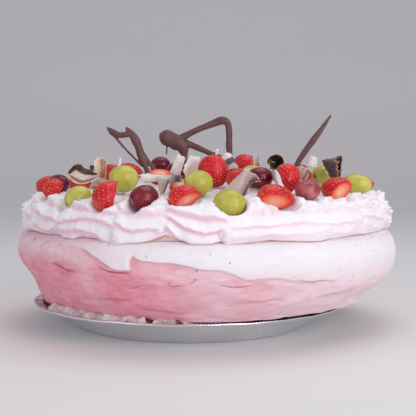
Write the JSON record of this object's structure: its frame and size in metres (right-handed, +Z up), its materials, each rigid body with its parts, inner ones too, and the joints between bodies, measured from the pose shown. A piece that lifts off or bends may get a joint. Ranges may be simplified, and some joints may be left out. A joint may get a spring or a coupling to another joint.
{
  "type": "pavlova",
  "caption": "Round pavlova in a foil dish: cracked meringue, a ring of piped cream shells, grapes, strawberries, chocolate curls and upright piped chocolate shapes.",
  "frame": {"origin": "on the ground under the middle of the whole cake", "axes": "+Z up, -Y towards the side with the fish-shaped chocolate piece facing the viewer, +X to the viewer's right"},
  "size_m": [0.3054, 0.3058, 0.1665],
  "materials": {
    "foil": "thin crimped foil with a rolled rim",
    "meringue": "dry, matt, off-white crust with cracks and small pits",
    "cream": "soft white whipped cream, satin",
    "green_grape": "glossy yellow-green skin",
    "red_grape": "glossy dark red skin",
    "strawberry": "glossy red skin with pale seeds, orange-pink cut faces",
    "chocolate": "set milk chocolate, soft sheen",
    "dark_chocolate": "dark chocolate, soft sheen",
    "white_chocolate": "white chocolate, satin",
    "marbled_chocolate": "dark, milk and white chocolate marbled together"
  },
  "bodies": {
    "root": {"foil_dish": "foil", "meringue": "meringue", "whipped_cream": "cream", "blade_decoration": "chocolate", "chocolate_roll_1": "marbled_chocolate", "dark_roll_1": "dark_chocolate", "dark_roll_2": "dark_chocolate", "dark_roll_3": "dark_chocolate", "fish_decoration": "chocolate", "green_grape_1": "green_grape", "green_grape_2": "green_grape", "green_grape_3": "green_grape", "green_grape_4": "green_grape", "green_grape_5": "green_grape", "green_grape_6": "green_grape", "green_grape_7": "green_grape", "green_grape_8": "green_grape", "green_grape_9": "green_grape", "harp_decoration": "chocolate", "marbled_curl_1": "marbled_chocolate", "marbled_curl_2": "marbled_chocolate", "marbled_curl_3": "marbled_chocolate", "marbled_curl_4": "marbled_chocolate", "marbled_curl_5": "marbled_chocolate", "marbled_curl_6": "marbled_chocolate", "marbled_curl_7": "marbled_chocolate", "red_grape_1": "red_grape", "red_grape_2": "red_grape", "red_grape_3": "red_grape", "red_grape_4": "red_grape", "red_grape_5": "red_grape", "red_grape_6": "red_grape", "red_grape_7": "red_grape", "strawberry_1": "strawberry", "strawberry_10": "strawberry", "strawberry_11": "strawberry", "strawberry_12": "strawberry", "strawberry_13": "strawberry", "strawberry_14": "strawberry", "strawberry_15": "strawberry", "strawberry_16": "strawberry", "strawberry_17": "strawberry", "strawberry_18": "strawberry", "strawberry_19": "strawberry", "strawberry_2": "strawberry", "strawberry_20": "strawberry", "strawberry_21": "strawberry", "strawberry_3": "strawberry", "strawberry_4": "strawberry", "strawberry_5": "strawberry", "strawberry_6": "strawberry", "strawberry_7": "strawberry", "strawberry_8": "strawberry", "strawberry_9": "strawberry", "white_curl_1": "white_chocolate", "white_curl_2": "white_chocolate", "white_curl_3": "white_chocolate", "white_curl_4": "white_chocolate"}
  },
  "joints": []
}
